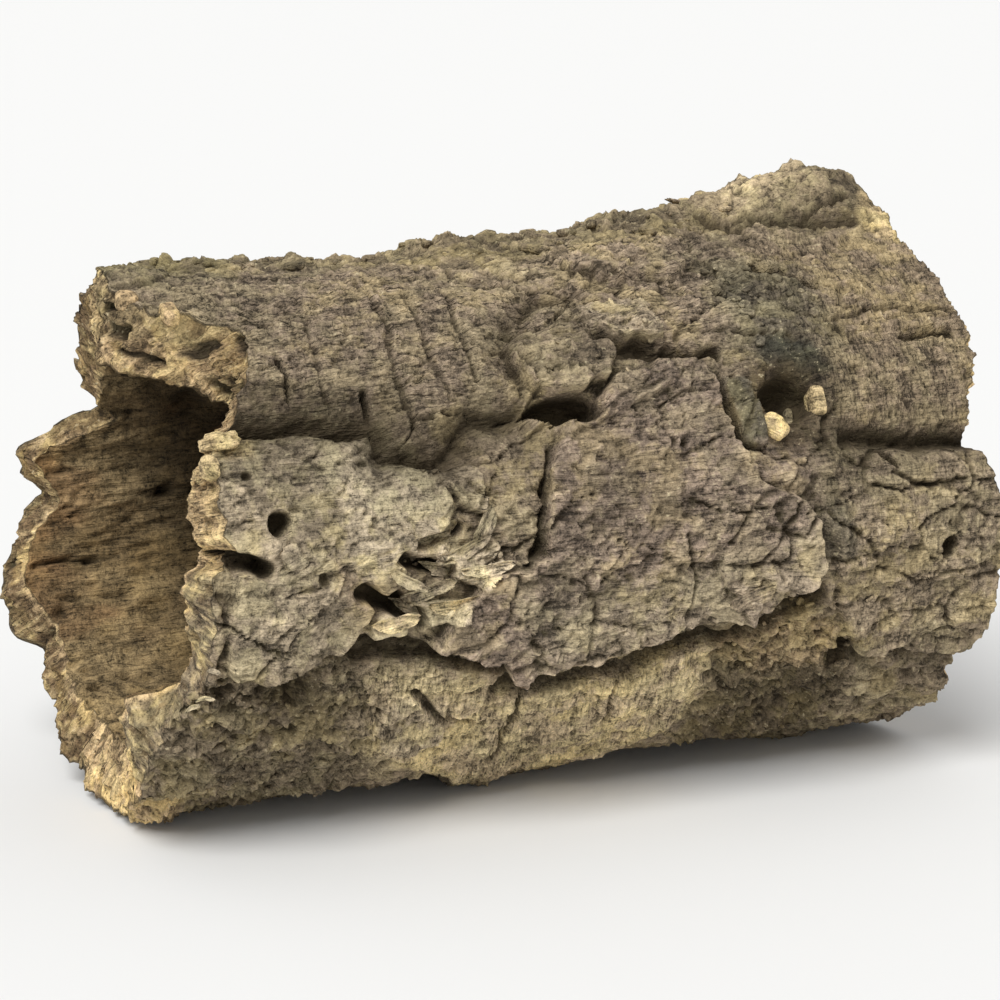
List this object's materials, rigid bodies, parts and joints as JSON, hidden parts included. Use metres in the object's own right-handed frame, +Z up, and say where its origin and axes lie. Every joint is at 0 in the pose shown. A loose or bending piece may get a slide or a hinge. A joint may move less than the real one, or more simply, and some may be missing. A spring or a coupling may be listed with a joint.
{
  "type": "cork bark tube",
  "caption": "Hollow tube of rough virgin cork bark with a ragged mouth, a short side-branch stub and layered, cracked plates; lies on its side as a hide or planting tube.",
  "frame": {"origin": "on the surface that the tube lies on, under the middle of its box", "axes": "+X along the tube, away from the ragged mouth; +Z up; -Y faces the pictured side"},
  "size_m": [0.2612, 0.1646, 0.1739],
  "materials": {
    "cork_bark": "dull, rough grey-brown bark, tan where it is broken, brown inside, with dark green algae in the crevices"
  },
  "bodies": {
    "root": {"cork_tube": "cork_bark"}
  },
  "joints": []
}
